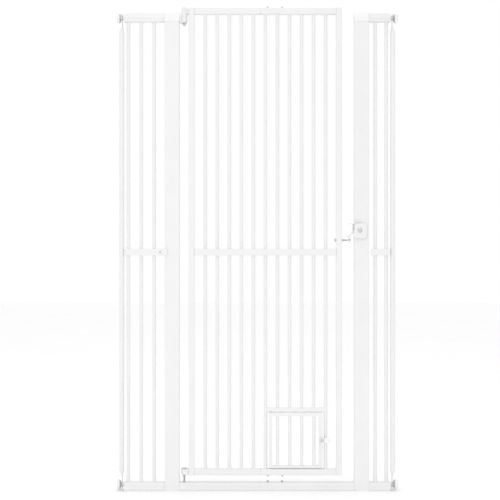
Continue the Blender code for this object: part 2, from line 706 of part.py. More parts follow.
def lock_cover():
    """A pan on the front of the post, open to the left and top for the claw to move in."""
    back = -POST_DEPTH / 2 - GAP
    low = (LOCK_COVER_X[0], LOCK_COVER_Z[0])
    high = (LOCK_COVER_X[1], LOCK_COVER_Z[1])
    outline = rounded_box(low, high, LOCK_COVER_CORNER, 5)
    cover = prism("lock_cover", "Y", outline, LOCK_COVER_FRONT_Y, back, POWDER_WHITE)
    wall = LOCK_COVER_WALL
    inside_low = (low[0] + wall, low[1] + wall)
    inside_high = (high[0] - wall, high[1] - wall)
    inside = rounded_box(inside_low, inside_high, LOCK_COVER_CORNER - wall, 5)
    inner_front = LOCK_COVER_FRONT_Y + wall
    cut(cover, prism("lock_cover_inside", "Y", inside, inner_front, 0.0, ZINC))
    mouth = (
        (low[0] - wall, LOCK_Z - LOCK_MOUTH_DROP),
        (LOCK_X, LOCK_Z - LOCK_MOUTH_DROP),
        (LOCK_X + LOCK_MOUTH_SLANT, high[1] + wall),
        (low[0] - wall, high[1] + wall),
    )
    cut(cover, prism("lock_cover_mouth", "Y", mouth, inner_front, 0.0, ZINC))
    shaft_bore = LOCK_SHAFT_RADIUS + PIN_CLEARANCE
    drill(cover, "Y", (LOCK_X, LOCK_Z), shaft_bore, LOCK_COVER_FRONT_Y, inner_front)


def lock_claw():
    """A folded lever on the lock's pivot: thumb tab at the top, and a fork that drops over the strike pin."""
    pivot = (LOCK_X, LOCK_Z)
    blade = arc(CLAW_HUB_RADIUS, (0.0, 0.0), -90, 90, CIRCLE_SIDES // 2) + [
        (CLAW_ARM[1], CLAW_TOP),
        (CLAW_ARM[0], CLAW_TOP),
        (CLAW_ARM[0], CLAW_ARM_LEFT_BOTTOM),
        (CLAW_TIP[0], CLAW_TIP_LEFT_TOP),
        (CLAW_TIP[0], CLAW_TIP_BOTTOM),
        (CLAW_TIP[1], CLAW_TIP_BOTTOM),
        (CLAW_TIP[1], CLAW_TIP_RIGHT_TOP),
        (CLAW_ARM[1], CLAW_ARM_RIGHT_BOTTOM),
    ]
    claw = prism("lock_claw", "Y", shifted(blade, pivot), *CLAW_Y, POWDER_WHITE)
    bridge_top = CLAW_BRIDGE_BOTTOM + CLAW_SHEET
    outer_y = CLAW_PRONG_Y + CLAW_SHEET
    bridge = rounded_box((CLAW_TIP[0], CLAW_BRIDGE_BOTTOM), (CLAW_TIP[1], bridge_top), GAP, 1)
    prong = rounded_box((CLAW_TIP[0], CLAW_TIP_BOTTOM), (CLAW_TIP[1], bridge_top), GAP, 1)
    tab = rounded_box((CLAW_TAB_LEFT, CLAW_TOP - CLAW_SHEET), (CLAW_ARM[1], CLAW_TOP), GAP, 1)
    folds = (
        ("claw_bridge", bridge, CLAW_Y[0] + GAP, outer_y),
        ("claw_front_prong", prong, -outer_y, -CLAW_PRONG_Y),
        ("claw_back_prong", prong, CLAW_PRONG_Y, outer_y),
        ("claw_tab", tab, CLAW_TAB_FRONT_Y, CLAW_Y[1] - GAP),
    )
    for name, outline, front, back in folds:
        join(claw, prism(name, "Y", shifted(outline, pivot), front, back, POWDER_WHITE))


def lock_knob():
    back = LOCK_COVER_FRONT_Y - GAP
    profile = (
        *reversed(domed(back, -LOCK_KNOB_THICKNESS, LOCK_KNOB_RADIUS)),
        (back, LOCK_SHAFT_RADIUS),
        (CLAW_Y[0] - GAP, LOCK_SHAFT_RADIUS),
    )
    turned("lock_knob", "Y", (LOCK_X, LOCK_Z), profile, ZINC)


# Joint axes

def hang(axis_name, location, parent, names):
    """Puts pieces on an empty that stands on their joint's axis."""
    axis = bpy.data.objects.new(axis_name, None)
    bpy.context.scene.collection.objects.link(axis)
    axis.location = location
    if parent:
        axis.parent = parent
        axis.matrix_parent_inverse = Matrix.Translation(parent.location).inverted()
    for name in names:
        piece = bpy.data.objects[name]
        helpers = [modifier.object for modifier in piece.modifiers]
        for item in [piece, *helpers]:
            item.parent = axis
            item.matrix_parent_inverse = Matrix.Translation(location).inverted()
    return axis


def hang_moving_pieces():
    door_pieces = ["top_hinge_barrel", "bottom_hinge_ear", "strike_pin", "cat_door_header"]
    for item in bpy.data.objects:
        if item.name.startswith("door_") and not item.hide_render:
            door_pieces.append(item.name)
    door_axis = hang("door_axis", (HINGE_X, 0.0, 0.0), None, door_pieces)
    hang("cat_door_axis", (*CAT_AXIS, 0.0), door_axis, ["cat_door_grille"])
    hang("cat_latch_axis", (LATCH_X, 0.0, LATCH_Z), door_axis, ["cat_door_latch"])
    hang("lock_axis", (LOCK_X, 0.0, LOCK_Z), None, ["lock_claw", "lock_knob"])
    for height, z in (("top", SPINDLE_TOP_Z), ("bottom", SPINDLE_BOTTOM_Z)):
        for side, sign in (("left", -1), ("right", 1)):
            place = f"{height}_{side}"
            names = [f"{place}_spindle", f"{place}_wall_cup", f"{place}_hand_nut"]
            hang(f"{place}_mount_axis", (sign * HALF_SPAN, 0.0, z), None, names)


def main():
    for item in list(bpy.data.objects):
        bpy.data.objects.remove(item)
    frame()
    door()
    cat_door()
    cat_door_latch()
    lock_cover()
    lock_claw()
    lock_knob()
    hang_moving_pieces()


main()
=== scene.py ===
import json
import math

import bmesh
import bpy
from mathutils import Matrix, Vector


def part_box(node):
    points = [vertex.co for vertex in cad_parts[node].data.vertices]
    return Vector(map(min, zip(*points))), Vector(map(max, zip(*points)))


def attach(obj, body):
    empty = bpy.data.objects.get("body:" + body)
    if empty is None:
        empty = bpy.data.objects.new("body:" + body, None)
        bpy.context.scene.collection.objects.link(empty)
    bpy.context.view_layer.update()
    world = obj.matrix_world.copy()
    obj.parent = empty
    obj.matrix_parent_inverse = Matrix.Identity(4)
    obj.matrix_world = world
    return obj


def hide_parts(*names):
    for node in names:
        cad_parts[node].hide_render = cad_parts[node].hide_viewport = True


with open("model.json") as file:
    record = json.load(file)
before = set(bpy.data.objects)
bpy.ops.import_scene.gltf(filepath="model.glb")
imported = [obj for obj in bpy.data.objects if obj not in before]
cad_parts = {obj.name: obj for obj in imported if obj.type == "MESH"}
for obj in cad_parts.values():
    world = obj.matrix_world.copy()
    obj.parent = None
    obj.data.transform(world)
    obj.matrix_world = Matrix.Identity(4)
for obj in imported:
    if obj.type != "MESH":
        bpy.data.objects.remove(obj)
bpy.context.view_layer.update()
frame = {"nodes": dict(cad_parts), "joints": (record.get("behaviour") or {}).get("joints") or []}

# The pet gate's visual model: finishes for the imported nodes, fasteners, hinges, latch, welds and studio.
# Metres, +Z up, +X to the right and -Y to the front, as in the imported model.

PLACES = (("top_left", -1), ("top_right", 1), ("bottom_left", -1), ("bottom_right", 1))

# Shape settings
ROUND_SIDES = 40
BOLT_SIDES = 24
THREAD_SIDES = 24
HEX_SIDES = 48
SHARP_ANGLE = 32
FILLET_STEPS = 3
BEVEL_STEPS = 3
HALF_ROUND_STEPS = 16
WELD_DISTANCE = 0.00005
GAP = 0.0003
PITCH = 0.0015
THREAD_STEPS = 8                  # rings per turn
THREAD_SHAPE = 0.8                # exponent of the flanks: below 1 sharpens the crests
CHAMFER_SLOPE = 1.7
CHAMFER_STEPS = 4
NUT_FACE_SHARE = 0.97             # of the flats' half distance, where the chamfer starts
NUT_SINK = 0.0004

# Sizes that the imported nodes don't give
TUBE_WALL = 0.0012
TUBE_CORNER = 0.003
BAR_RADIUS = 0.0070
OVERLAP = 0.001                   # how far one part of a piece runs into the next
CORE = 0.001                      # radius of the small flat that ends a turned body
PLATE_EDGE = 0.0005
HINGE_PLATE_EDGE = 0.0006
WASHER_BORE = 0.002
WASHER_EDGE = 0.0003
THIN_WASHER = 0.0010
THICK_WASHER = 0.0012
SMALL_WASHER_RADIUS = 0.0052
STRIKE_WASHER_RADIUS = 0.0056
ACORN_WASHER_RADIUS = 0.0080
EAR_WASHER_RADIUS = 0.0086
NUT_HEIGHT = 0.0038
SPINDLE_RADIUS = 0.0048
SHANK_RADIUS = 0.0040
THREAD_LENGTH = 0.0450
THREAD_DEPTH = 0.0008
FLANGE_DEPTH = 0.0030
SPLICE_BOLTS_X = (0.0391, 0.0931)
SLEEVE_X = (-0.0250, 0.1090)
SLEEVE_CORNER = 0.0018
SPLICE_NUT_FLATS = 0.0080
SPLICE_NUT_TURNED = 0.0078        # its corners are turned down to those of this smaller nut
SPLICE_BOLT_BORE = 0.0022
HINGE_PLATE = 0.0035
HINGE_SHAFT_RADIUS = 0.0038
HINGE_SHAFT_START = 0.004         # above the acorn nut's end
HINGE_ACORN_FLATS = 0.0124
HINGE_NUT_FLATS = 0.0118
HINGE_NUT_HEIGHT = 0.0058
PIN_RADIUS = 0.0035
PIN_SHANK_RADIUS = 0.0033
STRIKE_ACORN_FLATS = 0.0108
STRIKE_NUT_FLATS = 0.0086
STRIKE_THREAD_RADIUS = 0.0030
STRIKE_ROD_RADIUS = 0.0028
STRIKE_ROD_OUT = 0.004            # beyond the stile
FLARE_LENGTH = 0.0110
FLARE_NECK = 0.0002
THREAD_END_FROM_TIP = 0.0105      # on the strike pin
LOCK_SCREW_RADIUS = 0.0038
FOLD_LEFT = -0.0280               # from the claw's pivot
FOLD_BOTTOM = -0.0030             # from the claw's pivot
FOLD_TOP = -0.0010                # from the claw's top
FOLD_SHEET = 0.0018
FOLD_CORNER = 0.0008
FOLD_DEPTH = 0.0057
KNOB_RIBS = 20
SIDES_PER_RIB = 6
RIB_HEIGHT = 0.0004
RIBBED_FROM = 0.93                # of the knob's radius
KNOB_STEM_RADIUS = 0.0045
KNOB_STEM_START = 0.0108          # from the knob's face
TONGUE_Y = (0.0125, 0.0160)       # from the knob's face
# The cat latch's zinc stop pin: its dark tone is also painted shade, standing for the shadowed gap at the
# knob's upper left.
STOP_AND_SHADE_PIN_Y = (0.0060, 0.0130)         # from the knob's face
STOP_AND_SHADE_PIN_RADII = (0.0022, 0.0024)
STOP_AND_SHADE_PIN_FROM_AXIS = (-0.0098, 0.0066)
PIVOT_RADIUS = 0.0026
PIVOT_REACH = 0.0095
RIVET_X = -0.3635
PLUG_DEPTH = 0.006
PLUG_EDGE = 0.0006
JOINT_OVERLAP = 0.0002
JOINT_PRESS = 0.0001
JOINT_EDGE = 0.00005
FLUSH_CLEAR = 0.0002
STEPPED_CLEAR = 0.0018
SOFT_EDGES = {
    "lock_cover": 0.0012,
    "lock_claw": 0.0007,
    "top_hinge_barrel": 0.0008,
    "bottom_hinge_ear": 0.0015,
    "door_mid_rail": 0.0008,
    "left_wing_mid_rail": 0.0008,
    "right_wing_mid_rail": 0.0008,
    "left_post_cap": 0.0005,
    "right_post_cap": 0.0005,
    "cat_door_grille": 0.0005,
}

# Studio: each light is a name, place, target, size and energy
LIGHTS = (
    ("key", (-1.8, -5.4, 3.2), (0.0, 0.0, 0.9), (2.4, 2.4), 40.0),
    ("overhead", (0.0, 0.3, 4.2), (0.0, 0.0, 0.0), (3.0, 2.0), 14.0),
    ("low_fill", (0.0, -1.7, 0.22), (0.0, 0.0, 0.12), (2.6, 0.3), 1.6),
)
FLOOR_REACH = 12.0
FLOOR_CELLS = 24
SENSOR_WIDTH = 36.0
CAMERA_LENS = 65.7
CAMERA_PLACE = (-0.027, -3.412, 0.8981)


# Outlines and profiles

def arc(radius, centre, start, end, steps):
    """Points on a circle from angle start to angle end, in degrees, both included."""
    angles = [math.radians(start + (end - start) * step / steps) for step in range(steps + 1)]
    return [(centre[0] + radius * math.cos(a), centre[1] + radius * math.sin(a)) for a in angles]


def rounded_box(low, high, corner, steps=4):
    """The outline of a rectangle with round corners, counter-clockwise."""
    centres = (
        (high[0] - corner, high[1] - corner),
        (low[0] + corner, high[1] - corner),
        (low[0] + corner, low[1] + corner),
        (high[0] - corner, low[1] + corner),
    )
    points = []
    for quarter, centre in enumerate(centres):
        points += arc(corner, centre, 90 * quarter, 90 * (quarter + 1), steps)
    return points


def filleted(points, radius, closed=False):
    """A line of points whose corners are rounded off; the ends stay unless it is closed."""
    corners = [Vector(point) for point in points]
    count = len(corners)
    turns = range(count) if closed else range(1, count - 1)
    result = [] if closed else [tuple(corners[0])]
    for index in turns:
        corner = corners[index]
        before = corners[index - 1] - corner
        after = corners[(index + 1) % count] - corner
        start = corner + before.normalized() * min(radius, before.length / 2)
        end = corner + after.normalized() * min(radius, after.length / 2)
        for step in range(FILLET_STEPS + 1):
            t = step / FILLET_STEPS
            result.append(tuple(start * (1 - t) ** 2 + corner * 2 * t * (1 - t) + end * t * t))
    if not closed:
        result.append(tuple(corners[-1]))
    return result


def moved(points, start, sign=1):
    """A profile (distance, radius) set to run from start in the direction of sign."""
    return [(start + sign * along, radius) for along, radius in points]


def inset(outline, distance):
    """A counter-clockwise outline moved inwards."""
    result = []
    count = len(outline)
    for index in range(count):
        before = Vector(outline[index]) - Vector(outline[index - 1])
        after = Vector(outline[(index + 1) % count]) - Vector(outline[index])
        normal = Vector((-before.y, before.x)).normalized() + Vector((-after.y, after.x)).normalized()
        spread = max(normal.length_squared / 2, 0.5)
        point = Vector(outline[index]) + normal * distance / spread
        result.append(tuple(point))
    return result


# Rings of points, which the pieces are lofted through

def placed(axis, u, v, w):
    """The point at u, v across the axis and w along it; u, v are y, z on X, x, z on Y and x, y on Z."""
    return {"X": (w, u, v), "Y": (u, w, v), "Z": (u, v, w)}[axis]


def turned(axis, centre, profile, sides=ROUND_SIDES, radius_at=None):
    """Rings of a turned body from its profile (distance, radius); radius_at may bend a radius by angle."""
    rings = []
    for w, radius in profile:
        ring = []
        for side in range(sides):
            angle = 2 * math.pi * side / sides
            reach = radius_at(w, radius, angle) if radius_at else radius
            u = centre[0] + reach * math.cos(angle)
            v = centre[1] + reach * math.sin(angle)
            ring.append(placed(axis, u, v, w))
        rings.append(ring)
    return rings


def slab(axis, outline, low, high, edge):
    """Rings of a plate between low and high whose edges are rounded by edge."""
    levels = ((edge, 0.0), (edge * 0.3, edge * 0.3), (0.0, edge))
    rings = []
    for shrink, rise in levels:
        rings.append([placed(axis, u, v, low + rise) for u, v in inset(outline, shrink)])
    for shrink, drop in reversed(levels):
        rings.append([placed(axis, u, v, high - drop) for u, v in inset(outline, shrink)])
    return rings


def hexagonal(across_flats):
    """A radius_at that cuts six flats on a turned body."""
    half = across_flats / 2

    def radius_at(_, radius, angle):
        from_flat = (angle + math.pi / 6) % (math.pi / 3) - math.pi / 6
        return min(radius, half / math.cos(from_flat))

    return radius_at


def nut_profile(start, end, across_flats, bore):
    """A hexagon nut's closed profile: both ends chamfered, with a countersunk bore."""
    corner = across_flats / math.sqrt(3)
    face = across_flats / 2 * NUT_FACE_SHARE
    chamfer = (corner - face) / CHAMFER_SLOPE
    sign = 1 if end > start else -1
    shares = [step / CHAMFER_STEPS for step in range(CHAMFER_STEPS + 1)]
    rise = [(chamfer * share, face + (corner - face) * share) for share in shares]
    outer = moved(rise, start, sign) + moved(reversed(rise), end, -sign)
    far_bore = [(end, bore + NUT_SINK), (end - sign * NUT_SINK, bore)]
    near_bore = [(start + sign * NUT_SINK, bore), (start, bore + NUT_SINK)]
    return outer + far_bore + near_bore


def thread(axis, centre, start, end, radius):
    """Rings of a screw thread with its pitch and depth, from start to end."""
    count = int(abs(end - start) / PITCH * THREAD_STEPS)
    sign = 1 if end > start else -1

    def radius_at(w, reach, angle):
        phase = (abs(w - start) / PITCH - angle / (2 * math.pi)) % 1.0
        fade = min(1.0, abs(w - start) / PITCH, abs(end - w) / PITCH)
        return reach - THREAD_DEPTH * fade * abs(2 * phase - 1) ** THREAD_SHAPE

    levels = [start + sign * PITCH / THREAD_STEPS * step for step in range(count + 1)]
    return turned(axis, centre, [(w, radius) for w in levels], THREAD_SIDES, radius_at)


# Pieces

def piece(name, body, finish, parts, replaced=()):
    """One object lofted through parts, each (rings, looped); it rides on body and stands for replaced."""
    shape = bmesh.new()
    for rings, looped in parts:
        rows = [[shape.verts.new(point) for point in ring] for ring in rings]
        pairs = list(zip(rows, rows[1:]))
        faces = []
        if looped:
            pairs.append((rows[-1], rows[0]))
        else:
            faces += [shape.faces.new(rows[0]), shape.faces.new(rows[-1])]
        for low, high in pairs:
            for i, corner in enumerate(low):
                j = (i + 1) % len(low)
                faces.append(shape.faces.new((corner, low[j], high[j], high[i])))
        bmesh.ops.recalc_face_normals(shape, faces=faces)
    mesh = bpy.data.meshes.new(name)
    shape.to_mesh(mesh)
    shape.free()
    mesh.shade_smooth()
    mesh.set_sharp_from_angle(angle=math.radians(SHARP_ANGLE))
    mesh.materials.append(FINISHES[finish])
    made = bpy.data.objects.new(name, mesh)
    bpy.context.scene.collection.objects.link(made)
    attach(made, body)
    if replaced:
        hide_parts(*replaced)


def solid(rings):
    return rings, False


def ring_shaped(rings):
    return rings, True


def rod(axis, centre, start, end, radius):
    """Part: a plain round rod."""
    return solid(turned(axis, centre, [(start, radius), (end, radius)], BOLT_SIDES))


def washer(radius, thickness):
    """A washer's profile from 0 to thickness."""
    corners = [(0.0, WASHER_BORE), (0.0, radius), (thickness, radius), (thickness, WASHER_BORE)]
    return filleted(corners, WASHER_EDGE)


def hexagon_nut(axis, centre, start, end, across_flats, bore):
    """Part: a hexagon nut between start and end."""
    profile = nut_profile(start, end, across_flats, bore)
    return ring_shaped(turned(axis, centre, profile, HEX_SIDES, hexagonal(across_flats)))


def middle(node):
    low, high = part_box(node)
    return (low + high) / 2


def joint_place(name):
    return next(joint for joint in frame["joints"] if joint["name"] == name)["pos_m"]


# Materials

class Surface:
    """A Principled material whose colour, roughness and bump come from object-space textures."""

    def __init__(self, name):
        self.material = bpy.data.materials.new(name)
        self.material.use_nodes = True
        self.tree = self.material.node_tree
        self.shader = self.tree.nodes["Principled BSDF"]
        self.place = self.tree.nodes.new("ShaderNodeTexCoord").outputs["Object"]

    def fix(self, **values):
        for label, value in values.items():
            self.shader.inputs[label.replace("_", " ")].default_value = value

    def noise(self, scale, detail=2.0, stretch=(1.0, 1.0, 1.0)):
        mapping = self.tree.nodes.new("ShaderNodeMapping")
        mapping.inputs["Scale"].default_value = stretch
        self.tree.links.new(self.place, mapping.inputs["Vector"])
        texture = self.tree.nodes.new("ShaderNodeTexNoise")
        texture.inputs["Scale"].default_value = scale
        texture.inputs["Detail"].default_value = detail
        self.tree.links.new(mapping.outputs["Vector"], texture.inputs["Vector"])
        return texture.outputs["Fac"]

    def cells(self, scale):
        texture = self.tree.nodes.new("ShaderNodeTexVoronoi")
        texture.inputs["Scale"].default_value = scale
        self.tree.links.new(self.place, texture.inputs["Vector"])
        return texture.outputs["Distance"]

    def colour(self, factor, first, second):
        ramp = self.tree.nodes.new("ShaderNodeValToRGB")
        ramp.color_ramp.elements[0].position = 0.3
        ramp.color_ramp.elements[0].color = (*first, 1.0)
        ramp.color_ramp.elements[1].position = 0.7
        ramp.color_ramp.elements[1].color = (*second, 1.0)
        self.tree.links.new(factor, ramp.inputs["Fac"])
        self.tree.links.new(ramp.outputs["Color"], self.shader.inputs["Base Color"])

    def roughness(self, factor, low, high):
        spread = self.tree.nodes.new("ShaderNodeMapRange")
        spread.inputs["To Min"].default_value = low
        spread.inputs["To Max"].default_value = high
        self.tree.links.new(factor, spread.inputs["Value"])
        self.tree.links.new(spread.outputs["Result"], self.shader.inputs["Roughness"])

    def bump(self, *layers):
        """Stacks bump layers, each (height, strength, distance)."""
        normal = None
        for height, strength, distance in layers:
            node = self.tree.nodes.new("ShaderNodeBump")
            node.inputs["Strength"].default_value = strength
            node.inputs["Distance"].default_value = distance
            self.tree.links.new(height, node.inputs["Height"])
            if normal:
                self.tree.links.new(normal, node.inputs["Normal"])
            normal = node.outputs["Normal"]
        self.tree.links.new(normal, self.shader.inputs["Normal"])


def powder_coat():
    """White powder coat: faint mottling, orange peel, and the slow waviness of thin tube."""
    made = Surface("powder_coat_white")
    made.colour(made.noise(9.0, 4.0), (0.757, 0.759, 0.757), (0.779, 0.781, 0.779))
    made.roughness(made.noise(60.0, 3.0), 0.32, 0.46)
    made.bump((made.noise(40.0, 1.0), 0.15, 0.0003), (made.noise(650.0, 2.0), 0.30, 0.00012))
    return made.material


def moulded_plastic():
    """White moulded plastic with a fine spark-eroded grain."""
    made = Surface("moulded_plastic_white")
    made.colour(made.noise(25.0, 3.0), (0.812, 0.812, 0.809), (0.834, 0.835, 0.832))
    made.roughness(made.noise(300.0, 2.0), 0.38, 0.52)
    made.bump((made.cells(1800.0), 0.18, 0.00008), (made.noise(90.0, 1.0), 0.10, 0.0002))
    made.fix(Subsurface_Weight=0.04, Subsurface_Radius=(0.004, 0.004, 0.004))
    return made.material


def zinc_plate():
    """Bright zinc plate: cloudy passivation and fine rolling lines."""
    made = Surface("zinc_plate")
    made.fix(Metallic=1.0)
    made.colour(made.noise(160.0, 4.0), (0.50, 0.505, 0.515), (0.66, 0.665, 0.67))
    made.roughness(made.noise(420.0, 3.0), 0.24, 0.42)
    made.bump((made.noise(900.0, 2.0, (1.0, 1.0, 6.0)), 0.20, 0.00008))
    return made.material


def grey_rubber():
    """Soft grey rubber with a matt grain."""
    made = Surface("grey_rubber")
    made.colour(made.noise(120.0, 4.0), (0.20, 0.20, 0.20), (0.26, 0.26, 0.26))
    made.roughness(made.noise(500.0, 2.0), 0.68, 0.86)
    made.bump((made.noise(1500.0, 2.0), 0.35, 0.00012))
    return made.material


def floor_finish():
    """A pale matt studio floor."""
    made = Surface("studio_floor")
    made.colour(made.noise(2.0, 3.0), (0.965, 0.965, 0.965), (0.980, 0.980, 0.980))
    made.roughness(made.noise(30.0, 2.0), 0.85, 0.95)
    made.bump((made.noise(200.0, 2.0), 0.05, 0.0003))
    return made.material


FINISHES = {
    "powder": powder_coat(),
    "plastic": moulded_plastic(),
    "zinc": zinc_plate(),
    "rubber": grey_rubber(),
}
FINISH_OF_SLOT = {"powder_white": "powder", "white_plastic": "plastic", "zinc": "zinc"}


def finish_nodes():
    """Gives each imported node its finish, softens folded and cast edges, and smooths bars and the barrel."""
    for node in frame["nodes"].values():
        for material_slot in node.material_slots:
            slot_name = material_slot.material.name.split(".")[0]
            material_slot.material = FINISHES[FINISH_OF_SLOT[slot_name]]
    # The hinge barrel is in both lists, so its edges are softened twice and come out rounder.
    round_nodes = [name for name in frame["nodes"] if "_bar" in name]
    for name in [*SOFT_EDGES, *round_nodes]:
        node = frame["nodes"][name]
        weld = node.modifiers.new("weld", "WELD")
        weld.merge_threshold = WELD_DISTANCE
        if name in SOFT_EDGES:
            bevel = node.modifiers.new("soft_edges", "BEVEL")
            bevel.width = SOFT_EDGES[name]
            bevel.segments = BEVEL_STEPS
            bevel.limit_method = "ANGLE"
            bevel.angle_limit = math.radians(SHARP_ANGLE)
            bevel.use_clamp_overlap = True
        normals = node.modifiers.new("even_normals", "WEIGHTED_NORMAL")
        normals.keep_sharp = False


# Pressure mounts

def wall_cup(place, sign):
    """A moulded cup with a rolled rim, and a ribbed rubber pad that meets the wall."""
    low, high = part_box(f"{place}_wall_cup")
    centre = tuple(middle(f"{place}_wall_cup").yz)
    inner = low.x if sign > 0 else high.x
    shell = filleted([
        (0.0, CORE), (0.0, 0.0172), (0.0018, 0.0190), (0.0066, 0.0190), (0.0077, 0.0181),
        (0.0077, 0.0170), (0.0060, 0.0166), (0.0060, CORE),
    ], 0.0007)
    piece(f"{place}_cup_shell", f"{place}_spindle", "plastic",
          [solid(turned("X", centre, moved(shell, inner, sign)))], [f"{place}_wall_cup"])
    pad = filleted([
        (0.0062, CORE), (0.0062, 0.0162), (0.0085, 0.0160), (0.0085, 0.0127), (0.0078, 0.0122),
        (0.0078, 0.0098), (0.0085, 0.0093), (0.0085, 0.0062), (0.0078, 0.0057), (0.0078, 0.0034),
        (0.0085, 0.0029), (0.0085, 0.0005),
    ], 0.0003)
    piece(f"{place}_cup_pad", f"{place}_spindle", "rubber",
          [solid(turned("X", centre, moved(pad, inner, sign)))])


def spindle(place, sign):
    """A threaded rod with a pressed flange behind the cup."""
    low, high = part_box(f"{place}_spindle")
    centre = tuple(middle(f"{place}_spindle").yz)
    outer = high.x if sign > 0 else low.x
    flange_start = outer - sign * FLANGE_DEPTH
    thread_start = outer - sign * THREAD_LENGTH
    inner = low.x if sign > 0 else high.x
    shank = filleted([
        (inner, CORE), (inner, SHANK_RADIUS), (thread_start, SHANK_RADIUS), (thread_start, CORE),
    ], 0.0005)
    flange = filleted([
        (-0.0012, 0.0046), (-0.0012, 0.0080), (0.0, 0.0088), (0.0, 0.0158), (0.0006, 0.0165),
        (FLANGE_DEPTH, 0.0165), (FLANGE_DEPTH, CORE),
    ], 0.0005)
    parts = [
        solid(turned("X", centre, shank, THREAD_SIDES)),
        solid(thread("X", centre, thread_start, flange_start, SPINDLE_RADIUS)),
        solid(turned("X", centre, moved([(-0.0012, CORE)] + flange, flange_start, sign))),
    ]
    piece(f"{place}_threaded_spindle", f"{place}_spindle", "zinc", parts, [f"{place}_spindle"])


def hand_nut(place, sign):
    """The hexagon nut that is turned by hand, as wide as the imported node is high."""
    low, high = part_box(f"{place}_hand_nut")
    centre = tuple(middle(f"{place}_hand_nut").yz)
    across_flats = high.z - low.z
    start, end = (low.x, high.x) if sign > 0 else (high.x, low.x)
    nut = hexagon_nut("X", centre, start, end, across_flats, SPINDLE_RADIUS + GAP)
    piece(f"{place}_hex_nut", f"{place}_nut", "zinc", [nut], [f"{place}_hand_nut"])


# Splices

def splice_bolt(x, base, sign):
    """Parts of a bolt end that stands out of a rail: washer, nut and thread, on the side given by sign."""
    centre = (x, 0.0)
    nut_base = base + sign * THIN_WASHER
    nut = nut_profile(nut_base, nut_base + sign * NUT_HEIGHT, SPLICE_NUT_TURNED, SPLICE_BOLT_BORE)
    end = filleted([(0.0040, CORE), (0.0040, 0.0024), (0.0066, 0.0024), (0.0070, 0.0012)], 0.0004)
    return [
        solid(turned("Z", centre, moved(washer(SMALL_WASHER_RADIUS, THIN_WASHER), base, sign), BOLT_SIDES)),
        ring_shaped(turned("Z", centre, nut, HEX_SIDES, hexagonal(SPLICE_NUT_FLATS))),
        solid(turned("Z", centre, moved(end, base, sign), BOLT_SIDES)),
    ]


def splice(name, body, rail, base, sign):
    """The sleeve inside a spliced rail and the two bolts that hold it."""
    low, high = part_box(rail)
    clear = TUBE_WALL + GAP / 2
    outline = rounded_box((low.y + clear, low.z + clear), (high.y - clear, high.z - clear), SLEEVE_CORNER)
    inner = inset(outline, TUBE_WALL)
    left, right = SLEEVE_X
    corners = ((outline, left), (outline, right), (inner, right), (inner, left))
    rings = [[placed("X", u, v, x) for u, v in section] for section, x in corners]
    piece(f"{name}_splice_sleeve", body, "zinc", [ring_shaped(rings)])
    parts = []
    for x in SPLICE_BOLTS_X:
        parts += splice_bolt(x, base, sign)
    piece(f"{name}_splice_bolts", body, "zinc", parts)


# Hinges

def top_hinge():
    """The bracket's plate, and the pin with its domed head and acorn nut."""
    low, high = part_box("top_hinge_bracket")
    radius = (high.y - low.y) / 2
    axis = (high.x - radius, 0.0)
    plate_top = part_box("top_hinge_barrel")[0].z - GAP
    plate_bottom = plate_top - HINGE_PLATE
    outline = arc(radius, axis, -90, 90, HALF_ROUND_STEPS) + [(low.x, radius), (low.x, -radius)]
    rings = slab("Z", outline, plate_bottom, plate_top, HINGE_PLATE_EDGE)
    piece("top_hinge_plate", "frame", "powder", [solid(rings)], ["top_hinge_bracket"])
    head_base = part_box("top_hinge_barrel")[1].z + GAP
    head = [
        (0.0, CORE), (0.0, 0.0062), (0.0010, 0.0066), (0.0024, 0.0064), (0.0040, 0.0050), (0.0050, 0.0030),
        (0.0054, 0.0006),
    ]
    acorn = [
        (-0.0012, CORE), (-0.0012, 0.0066), (-0.0020, 0.0071), (-0.0050, 0.0071), (-0.0056, 0.0062),
        (-0.0062, 0.0056), (-0.0082, 0.0050), (-0.0100, 0.0034), (-0.0108, 0.0008),
    ]
    parts = [
        solid(turned("Z", axis, moved(head, head_base))),
        rod("Z", axis, low.z + HINGE_SHAFT_START, head_base + OVERLAP, HINGE_SHAFT_RADIUS),
        solid(turned("Z", axis, moved(washer(ACORN_WASHER_RADIUS, -THICK_WASHER), plate_bottom))),
        solid(turned("Z", axis, moved(acorn, plate_bottom), HEX_SIDES, hexagonal(HINGE_ACORN_FLATS))),
    ]
    piece("top_hinge_pin", "frame", "zinc", parts)


def bottom_hinge():
    """The pin that stands on the threshold: foot, thread, nut, washer and a broad domed head."""
    foot_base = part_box("bottom_hinge_pin")[0].z
    centre = middle("bottom_hinge_pin")
    axis = (centre.x, centre.y)
    ear_low, ear_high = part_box("bottom_hinge_ear")
    foot = filleted([
        (0.0, CORE), (0.0, 0.0065), (0.0012, 0.0065), (0.0012, 0.0054), (0.0030, 0.0048), (0.0030, CORE),
    ], 0.0004)
    head = [
        (0.0, CORE), (0.0, 0.0105), (0.0004, 0.0110), (0.0010, 0.0110), (0.0016, 0.0104), (0.0024, 0.0086),
        (0.0030, 0.0060), (0.0034, 0.0030), (0.0035, 0.0006),
    ]
    nut_top = ear_low.z - GAP - THICK_WASHER
    parts = [
        solid(turned("Z", axis, moved(foot, foot_base))),
        solid(thread("Z", axis, foot_base + OVERLAP, nut_top, PIN_RADIUS)),
        rod("Z", axis, nut_top - OVERLAP, ear_high.z + OVERLAP, PIN_SHANK_RADIUS),
        hexagon_nut("Z", axis, nut_top - HINGE_NUT_HEIGHT, nut_top, HINGE_NUT_FLATS, PIN_RADIUS),
        solid(turned("Z", axis, moved(washer(EAR_WASHER_RADIUS, THICK_WASHER), nut_top))),
        solid(turned("Z", axis, moved(head, ear_high.z + GAP))),
    ]
    piece("bottom_hinge_pin_stack", "frame", "zinc", parts, ["bottom_hinge_pin"])


# Lock

